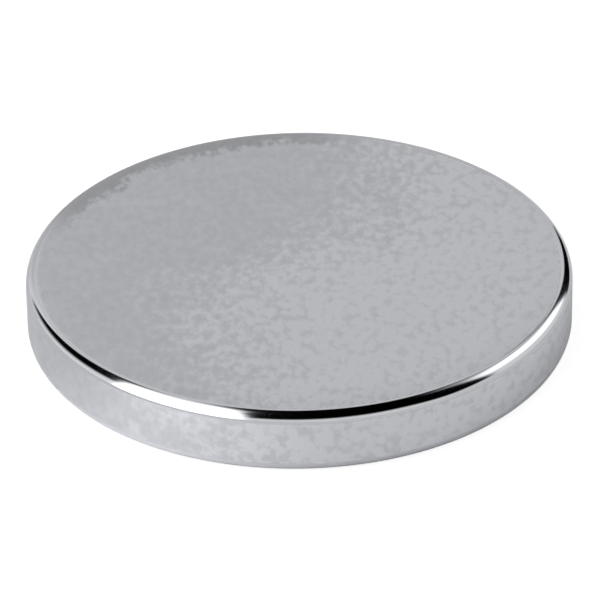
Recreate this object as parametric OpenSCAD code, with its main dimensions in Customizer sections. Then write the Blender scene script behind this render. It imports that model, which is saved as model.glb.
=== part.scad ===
// A disc magnet: one sintered and plated disc, with tumbled edges and flat pole faces.
// It lies on its lower pole face, and the middle of that face is the origin.

/* [Disc] */
// Diameter across the rim
disc_d = 25.4; // [10:0.1:60]
// Thickness from pole face to pole face
disc_t = 3.175; // [2:0.025:12]

/* [Edges] */
// Radius between the rim and each face
edge_r = 0.5; // [0.2:0.05:0.8]
// Width of the ring in which a face falls away towards its edge
fall_w = 1.1; // [0.5:0.1:2]
// Slope of that ring, in degrees
fall_angle = 3; // [1:0.5:5]

/* [Hidden] */
$fn = 128;

rim_r = disc_d / 2;
// The centre of the upper edge radius, which meets the rim and the falling ring without a corner.
edge_x = rim_r - edge_r;
edge_z = disc_t - fall_w * tan(fall_angle) - edge_r / cos(fall_angle);
// The falling ring is drawn on inwards past its own width, and the core ends under that stretch.
core_r = edge_x - fall_w - edge_r;
fall_reach = fall_w + 2 * edge_r;

// The edge radius of the upper face, with the slope that leads down to it.
module upper_edge() {
    translate([edge_x, edge_z]) {
        circle(r = edge_r);
        rotate(-fall_angle) translate([-fall_reach, -disc_t / 2])
            square([fall_reach, disc_t / 2 + edge_r]);
    }
}

// The straight wall of the rim, between the two edge radii.
module rim_wall() {
    translate([0, disc_t - edge_z]) square([rim_r, 2 * edge_z - disc_t]);
}

// Half of the section through the axis, cut off flat at both pole faces.
module half_section() {
    intersection() {
        square([disc_d, disc_t]);
        union() {
            square([core_r, disc_t]);
            rim_wall();
            upper_edge();
            translate([0, disc_t]) mirror([0, 1]) upper_edge();
        }
    }
}

module magnet_disc() {
    color("silver") rotate_extrude() half_section();
}

magnet_disc();
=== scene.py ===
import math

import bpy
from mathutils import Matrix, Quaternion, Vector


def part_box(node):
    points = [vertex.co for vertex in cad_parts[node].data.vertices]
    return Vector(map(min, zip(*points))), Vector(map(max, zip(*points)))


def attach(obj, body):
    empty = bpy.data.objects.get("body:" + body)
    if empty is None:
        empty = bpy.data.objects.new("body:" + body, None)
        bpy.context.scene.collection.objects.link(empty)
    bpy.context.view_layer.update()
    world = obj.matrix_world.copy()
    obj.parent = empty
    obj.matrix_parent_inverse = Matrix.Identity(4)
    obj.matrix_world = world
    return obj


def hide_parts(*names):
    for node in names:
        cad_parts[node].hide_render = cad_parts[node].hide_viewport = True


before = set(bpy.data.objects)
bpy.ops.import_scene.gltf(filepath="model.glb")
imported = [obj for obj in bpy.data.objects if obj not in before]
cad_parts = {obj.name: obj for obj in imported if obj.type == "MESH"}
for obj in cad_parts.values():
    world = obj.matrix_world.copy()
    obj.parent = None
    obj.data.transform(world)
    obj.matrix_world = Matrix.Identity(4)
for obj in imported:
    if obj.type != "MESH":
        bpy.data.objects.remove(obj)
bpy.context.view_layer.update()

# ---- Sizes, in metres ----

MM = 0.001
DISC_LOW, DISC_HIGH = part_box("magnet_disc")
DISC_D = DISC_HIGH.x - DISC_LOW.x
DISC_T = DISC_HIGH.z - DISC_LOW.z
RIM_R = DISC_D / 2
MID_Z = (DISC_LOW.z + DISC_HIGH.z) / 2
EDGE_R = 0.5 * MM
# Between the flat of each face and its rounded edge, a ring of this width falls at this angle.
FALL_W = 1.1 * MM
FALL_ANGLE = math.radians(3)
FLAT_R = RIM_R - EDGE_R - FALL_W
ROUND_STEPS = 256
EDGE_STEPS = 14
# The flat face turns into the falling ring over this distance on each side of the line between them.
EASE_W = 0.45 * MM
EASE_STEPS = 6
FLOOR_W = 1.6
# Keeps the floor apart from the lower face, which would otherwise lie in the same plane.
FLOOR_GAP = 0.01 * MM


# ---- Modelling with Blender's mesh tools ----

# Lines of the mesh whose radii or heights differ by less than this lie on the same circle.
SAME_CIRCLE = 0.02 * MM
# A normal whose z reaches this belongs to a level face.
LEVEL = 0.999
# The piece's own map gets this name, for baking its material through it.
BAKE_MAP = "OFBake"
MAP_MARGIN = 0.01
MAP_ANGLE = math.radians(66)


def deselect_all():
    bpy.ops.object.select_all(action="DESELECT")


def start_selection(piece, kind):
    """Makes the piece active with nothing selected, before its edges or faces are selected."""
    bpy.context.view_layer.objects.active = piece
    bpy.ops.object.mode_set(mode="EDIT")
    bpy.ops.mesh.select_mode(type=kind)
    bpy.ops.mesh.select_all(action="DESELECT")
    bpy.ops.object.mode_set(mode="OBJECT")


def edit_selected(operator, **settings):
    """Runs one operator in edit mode on what is selected in the active piece."""
    bpy.ops.object.mode_set(mode="EDIT")
    operator(**settings)
    bpy.ops.object.mode_set(mode="OBJECT")


def select_faces_facing(piece, z_sign):
    start_selection(piece, "FACE")
    for face in piece.data.polygons:
        face.select = face.normal.z * z_sign > LEVEL


def select_loop(piece, radius, z_sign):
    """Selects the edges that lie on a circle of this radius, on the upper or the lower side."""
    start_selection(piece, "EDGE")
    points = piece.data.vertices
    for edge in piece.data.edges:
        ends = [points[index].co for index in edge.vertices]
        on_circle = all(abs(math.hypot(end.x, end.y) - radius) < SAME_CIRCLE for end in ends)
        level = abs(ends[0].z - ends[1].z) < SAME_CIRCLE
        on_side = all((end.z - MID_Z) * z_sign > DISC_T / 4 for end in ends)
        edge.select = on_circle and level and on_side


def lay_out_map(piece):
    """Lays all faces out flat. The margin keeps the rim wall's strips off the border of the map,
    where a bake can leave a dark line at their ends."""
    start_selection(piece, "FACE")
    piece.data.uv_layers[0].name = BAKE_MAP
    bpy.ops.object.mode_set(mode="EDIT")
    bpy.ops.mesh.select_all(action="SELECT")
    bpy.ops.uv.smart_project(angle_limit=MAP_ANGLE, island_margin=MAP_MARGIN)
    bpy.ops.object.mode_set(mode="OBJECT")


def model_disc():
    """The whole disc: a cylinder whose faces are inset and let fall, and whose edges are rounded."""
    deselect_all()
    bpy.ops.mesh.primitive_cylinder_add(
        vertices=ROUND_STEPS,
        radius=RIM_R,
        depth=DISC_T,
        location=(0, 0, MID_Z),
        end_fill_type="NGON",
    )
    piece = bpy.context.object
    piece.name = "magnet_disc_plated"
    bpy.ops.object.transform_apply(location=True, rotation=True, scale=True)
    ring_w = RIM_R - FLAT_R
    fall = ring_w * math.tan(FALL_ANGLE)
    for side in (1, -1):
        select_faces_facing(piece, side)
        edit_selected(bpy.ops.mesh.inset, thickness=ring_w, depth=0)
        select_loop(piece, RIM_R, side)
        edit_selected(bpy.ops.transform.translate, value=(0, 0, -side * fall))
    # The bevel starts where an arc of the edge's radius touches the wall and the falling ring.
    edge_w = EDGE_R * math.tan((math.pi / 2 - FALL_ANGLE) / 2)
    for side in (1, -1):
        select_loop(piece, RIM_R, side)
        edit_selected(bpy.ops.mesh.bevel, offset=edge_w, segments=EDGE_STEPS, profile=0.5)
        select_loop(piece, FLAT_R, side)
        edit_selected(bpy.ops.mesh.bevel, offset=EASE_W, segments=EASE_STEPS, profile=0.5)
    lay_out_map(piece)
    deselect_all()
    piece.select_set(True)
    bpy.ops.object.shade_smooth()
    return piece


# ---- Shader maths ----

class Wire:
    """A socket that takes part in Python expressions; each operation adds a Math node."""

    def __init__(self, graph, socket):
        self.graph = graph
        self.socket = socket

    def math(self, operation, *values):
        settings = {"operation": operation}
        return self.graph.node("ShaderNodeMath", settings, dict(enumerate((self, *values))))

    def __add__(self, other):
        return self.math("ADD", other)

    def __radd__(self, other):
        return self.math("ADD", other)

    def __sub__(self, other):
        return self.math("SUBTRACT", other)

    def __rsub__(self, other):
        return self.graph.node("ShaderNodeMath", {"operation": "SUBTRACT"}, {0: other, 1: self})

    def __mul__(self, other):
        return self.math("MULTIPLY", other)

    def __rmul__(self, other):
        return self.math("MULTIPLY", other)

    def __truediv__(self, other):
        return self.math("DIVIDE", other)

    def __pow__(self, power):
        return self.math("POWER", power)

    def __abs__(self):
        return self.math("ABSOLUTE")

    def sqrt(self):
        return self.math("SQRT")

    def step(self, start, end):
        """0 at start, 1 at end, eased at both; start may be the larger of the two."""
        settings = {"interpolation_type": "SMOOTHSTEP"}
        values = {"Value": self, "From Min": start, "From Max": end}
        return self.graph.node("ShaderNodeMapRange", settings, values)


class Graph:
    """The node tree of a material or of the world, emptied before use."""

    def __init__(self, owner):
        owner.use_nodes = True
        self.tree = owner.node_tree
        self.tree.nodes.clear()

    def node(self, kind, settings=None, values=None, output=0):
        """Adds a node with its settings and the values or links of its sockets; returns an output."""
        made = self.tree.nodes.new(kind)
        for name, value in (settings or {}).items():
            setattr(made, name, value)
        for name, value in (values or {}).items():
            if isinstance(value, Wire):
                self.tree.links.new(value.socket, made.inputs[name])
            else:
                made.inputs[name].default_value = value
        return Wire(self, made.outputs[output]) if made.outputs else None

    def split(self, vector):
        """The three numbers of a vector."""
        made = self.node("ShaderNodeSeparateXYZ", values={"Vector": vector}).socket.node
        return [Wire(self, socket) for socket in made.outputs]

    def mix_colour(self, share, first, second):
        settings = {"data_type": "RGBA"}
        made = self.node("ShaderNodeMix", settings, {0: share, 6: first, 7: second}).socket.node
        return Wire(self, made.outputs[2])

    def noise(self, place, size, detail=2.0, roughness=0.5):
        """Cloudy noise around 0.5; size is the width of one cloud, in the units of place."""
        values = {"Vector": place, "Scale": 1 / size, "Detail": detail, "Roughness": roughness}
        return self.node("ShaderNodeTexNoise", values=values)


# ---- Materials ----

NICKEL = (0.781, 0.792, 0.831, 1)
WHITE = (1, 1, 1, 1)
BLACK = (0, 0, 0, 1)

# Lengths of the nickel's pattern, in millimetres.
POLISHED_TO = 0.48
SATIN_FROM = 0.64
PEBBLE_SIZE = 0.4
PEBBLE_HEIGHT = 0.003
CLOUD_SIZE = 1.7
BORDER_SIZE = 3.2
# The border between the side painted with a dim reflection and the side painted with a bright
# reflection is at this x in front, and this much further to the right behind.
BORDER_X = -2
BORDER_BEND = 8.4

# Tones are shares of the full nickel colour, which the side painted with a bright reflection has; the
# first is that of the side painted with a dim reflection.
DIM_REFLECTION_TONE = 0.83
POLISHED_TONE = 0.93
# The painted dark reflection on the falling ring darkens it by this share, centred this far to the
# left of straight behind.
DARK_REFLECTION_LOSS = 0.3
DARK_REFLECTION_ANGLE = math.radians(30)
SATIN_ROUGHNESS = 0.32
POLISHED_ROUGHNESS = 0.09
SATIN_METALLIC = 0.8


def nickel_plate():
    """Nickel over a sintered and tumbled blank: satin and finely pebbled, polished on the edges."""
    material = bpy.data.materials.new("nickel_plate")
    graph = Graph(material)
    place = graph.node("ShaderNodeTexCoord", output="Object")
    place_mm = graph.node(
        "ShaderNodeVectorMath", {"operation": "SCALE"}, {"Vector": place, "Scale": 1 / MM}
    )
    x, y, z = graph.split(place_mm)
    radius = (x * x + y * y).sqrt()

    # The distance from the sharp corner that the tumbling took away, the same at both faces.
    from_rim = RIM_R / MM - radius
    from_face = DISC_T / 2 / MM - abs(z - MID_Z / MM)
    from_corner = (from_rim * from_rim + from_face * from_face).sqrt()
    polish = from_corner.step(SATIN_FROM, POLISHED_TO)
    satin = 1 - polish

    # Fine pebbles, a little longer from front to back than they are wide.
    lengthwise = graph.node(
        "ShaderNodeVectorMath", {"operation": "MULTIPLY"}, {0: place_mm, 1: (1, 0.65, 1)}
    )
    grain = graph.noise(lengthwise, PEBBLE_SIZE, detail=2.5, roughness=0.5)
    pebbles = grain.step(0.3, 0.7) - 0.5

    # Painted reflection: one side of the face is painted brighter, as if it reflected a brighter part
    # of the room than the other, with a cloudy and speckled border between the two.
    border = graph.noise(place_mm, BORDER_SIZE, detail=4.0, roughness=0.6) - 0.5
    across = x - BORDER_X - BORDER_BEND * y.step(-3, 6)
    painted_bright_reflection = (across + 8.0 * border + 3.0 * pebbles).step(-6, 3.5)
    clouds = graph.noise(place_mm, CLOUD_SIZE, detail=3.0, roughness=0.6) - 0.5
    # The pebbles' speckle: real grain, with painted glints that are stronger on the side painted with
    # a bright reflection.
    speckle_and_glint = pebbles * (0.3 + 0.7 * painted_bright_reflection)

    # A painted dark reflection: a crescent of the upper face's falling ring, behind on the left, is
    # painted darker where the ring would reflect a dark part of the room.
    to_dark_reflection = (math.cos(DARK_REFLECTION_ANGLE) * y - math.sin(DARK_REFLECTION_ANGLE) * x) / radius
    on_top = (z - DISC_HIGH.z / MM).step(-0.5, -0.1)
    near_edge = (from_rim + 2 * border + 0.6 * pebbles).step(1.75, 1)
    painted_dark_reflection = to_dark_reflection.step(0.66, 0.9) * near_edge * on_top

    # Clouds, and speckle with its painted glints, are both weaker on the side painted with a dim
    # reflection.
    tone = DIM_REFLECTION_TONE + (1 - DIM_REFLECTION_TONE) * painted_bright_reflection
    tone = tone + (0.12 + 0.12 * painted_bright_reflection) * clouds + 0.24 * speckle_and_glint
    tone = (tone * satin + POLISHED_TONE * polish) * (1 - DARK_REFLECTION_LOSS * painted_dark_reflection)
    base = graph.mix_colour(tone, BLACK, NICKEL)
    roughness = SATIN_ROUGHNESS * satin + POLISHED_ROUGHNESS * polish + 0.06 * speckle_and_glint * satin
    # The pebbles scatter some of the light every way, which the polished edge doesn't.
    metallic = SATIN_METALLIC * satin + polish
    bump = graph.node(
        "ShaderNodeBump",
        values={"Distance": PEBBLE_HEIGHT * MM, "Height": grain * satin},
    )
    shader = graph.node(
        "ShaderNodeBsdfPrincipled",
        values={"Base Color": base, "Metallic": metallic, "Roughness": roughness, "Normal": bump},
    )
    graph.node("ShaderNodeOutputMaterial", values={"Surface": shader})
    return material


def pale_floor():
    """Matt and pale, and lifted where the camera sees it, so that it meets the white backdrop."""
    material = bpy.data.materials.new("pale_floor")
    graph = Graph(material)
    pale = (0.83, 0.83, 0.83, 1)
    glow_strength = 1.45
    glow_share = 0.6
    matt = graph.node("ShaderNodeBsdfDiffuse", values={"Color": pale})
    glow = graph.node("ShaderNodeEmission", values={"Color": WHITE, "Strength": glow_strength})
    to_camera = graph.node("ShaderNodeLightPath", output="Is Camera Ray")
    both = graph.node("ShaderNodeMixShader", values={0: to_camera * glow_share, 1: matt, 2: glow})
    graph.node("ShaderNodeOutputMaterial", values={"Surface": both})
    return material


# ---- The studio ----

def lay_floor():
    deselect_all()
    bpy.ops.mesh.primitive_plane_add(size=FLOOR_W, location=(0, 0, DISC_LOW.z - FLOOR_GAP))
    floor = bpy.context.object
    floor.name = "floor"
    floor.data.materials.append(pale_floor())
    return floor


def light_studio():
    """White softboxes left and right, a grey wall between them behind the disc, and dark flags.

    Directions are in degrees: azimuth from behind the disc, positive to the right, and elevation.
    A brightness of 1 is the plain white of the backdrop.
    """
    world = bpy.data.worlds.new("studio")
    bpy.context.scene.world = world
    graph = Graph(world)
    direction = graph.node("ShaderNodeTexCoord", output="Generated")
    x, y, z = graph.split(direction)
    azimuth = x.math("ARCTAN2", y) * math.degrees(1)
    elevation = z.math("ARCSINE") * math.degrees(1)

    def oval(middle, reach, level, height, soft=0.08, power=2.5):
        """1 inside a rounded patch around a middle azimuth and a level elevation, 0 outside; it
        reaches this far to each side and this far up and down, and a higher power squares it."""
        across = abs((azimuth - middle) / reach) ** power
        upward = abs((elevation - level) / height) ** power
        return (across + upward).step(1 + 2 * soft, 1 - 2 * soft)

    def lay_over(light, share, value):
        return light * (1 - share) + share * value

    # The wall behind the disc is a little brighter near the two softboxes.
    wall = 0.67 + 0.25 * azimuth.step(-22, -38) + 0.26 * azimuth.step(4, 40)
    wall = wall * (0.82 + 0.18 * elevation.step(22, 33))
    # The room is lit low down and dark above; in front the light reaches 12 degrees higher.
    in_front = abs(azimuth).step(115, 140)
    light = (elevation - 12 * in_front).step(22, 6) * wall
    # The softbox on the left fades towards the wall, with a dark gap below its inner end.
    left_box = 0.8 + 1.3 * azimuth.step(-20, -80)
    light = lay_over(light, oval(middle=-80, reach=77, level=4, height=74, power=3.2), left_box)
    gap = 0.85 * (elevation + 0.45 * azimuth).step(2, -22)
    light = lay_over(light, oval(middle=-45, reach=57, level=0, height=57, soft=0.05), gap)
    # The smaller softbox on the right has a dim edge above it and a tilted lower edge.
    dim = 0.45
    light = lay_over(light, oval(middle=48, reach=50, level=0, height=62, power=2.0), dim)
    light = lay_over(light, oval(middle=-6, reach=36, level=0, height=50, power=3.0), wall)
    right_box = wall + (1.5 - wall) * (elevation - 0.5 * azimuth).step(-11, -3)
    light = lay_over(light, oval(middle=59, reach=39, level=0, height=56, soft=0.12), right_box)
    # A dark flag stands between the wall and that softbox.
    dark = 0.0
    flag = oval(middle=0, reach=44, level=0, height=38, power=3.0) * azimuth.step(-1, 1)
    light = lay_over(light, flag, dark)
    light = lay_over(light, oval(middle=0, reach=20, level=0, height=36, power=4.0), wall)

    # What the camera sees directly, beyond the floor, is plain white.
    to_camera = graph.node("ShaderNodeLightPath", output="Is Camera Ray")
    light = light * (1 - to_camera) + to_camera
    sky = graph.node("ShaderNodeBackground", values={"Color": WHITE, "Strength": light})
    graph.node("ShaderNodeOutputWorld", values={"Surface": sky})


def light_floor(floor):
    """Soft light from the ceiling, and a spotlight on the front left that only the floor gets."""
    data = bpy.data.lights.new("ceiling_light", "SUN")
    data.energy = 0.25
    data.angle = math.radians(120)
    ceiling = bpy.data.objects.new("ceiling_light", data)
    bpy.context.scene.collection.objects.link(ceiling)
    ceiling.visible_glossy = False

    data = bpy.data.lights.new("floor_spot", "SPOT")
    data.spot_size = math.radians(16)
    data.spot_blend = 1.0
    data.shadow_soft_size = 0.2 * DISC_D
    data.energy = 0.07
    spot = bpy.data.objects.new("floor_spot", data)
    bpy.context.scene.collection.objects.link(spot)
    # It shines down on the floor beside the disc, from outside and above.
    lit_place = Vector((-0.36, -0.50, 0)) * DISC_D
    spot.location = lit_place + Vector((-0.6, -0.6, 2.2)) * DISC_D
    spot.rotation_mode = "QUATERNION"
    spot.rotation_quaternion = (lit_place - spot.location).to_track_quat("-Z", "Y")
    spot.visible_camera = False
    spot.visible_glossy = False
    lit = bpy.data.collections.new("lit_by_floor_spot")
    lit.objects.link(floor)
    spot.light_linking.receiver_collection = lit


def place_camera():
    """A long lens, looking down at the disc, ten diameters away."""
    elevation = math.radians(32.17)
    roll = math.radians(-0.88)
    distance = 10 * DISC_D
    target = Vector((0.0009, 0, 0.05)) * DISC_D
    data = bpy.data.cameras.new("camera")
    data.sensor_width = 36
    data.lens = 326
    data.clip_start = 0.01
    data.clip_end = 10
    camera = bpy.data.objects.new("camera", data)
    bpy.context.scene.collection.objects.link(camera)
    place = Vector((0, -math.cos(elevation), math.sin(elevation))) * distance
    aim = (target - place).to_track_quat("-Z", "Y")
    camera.rotation_mode = "QUATERNION"
    camera.location = place
    camera.rotation_quaternion = aim @ Quaternion((0, 0, 1), roll)
    bpy.context.scene.camera = camera


# ---- Putting it together ----

place_camera()
light_studio()
light_floor(lay_floor())
disc = model_disc()
disc.data.materials.append(nickel_plate())
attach(disc, "root")
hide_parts("magnet_disc")

bpy.context.scene.view_settings.view_transform = "Standard"
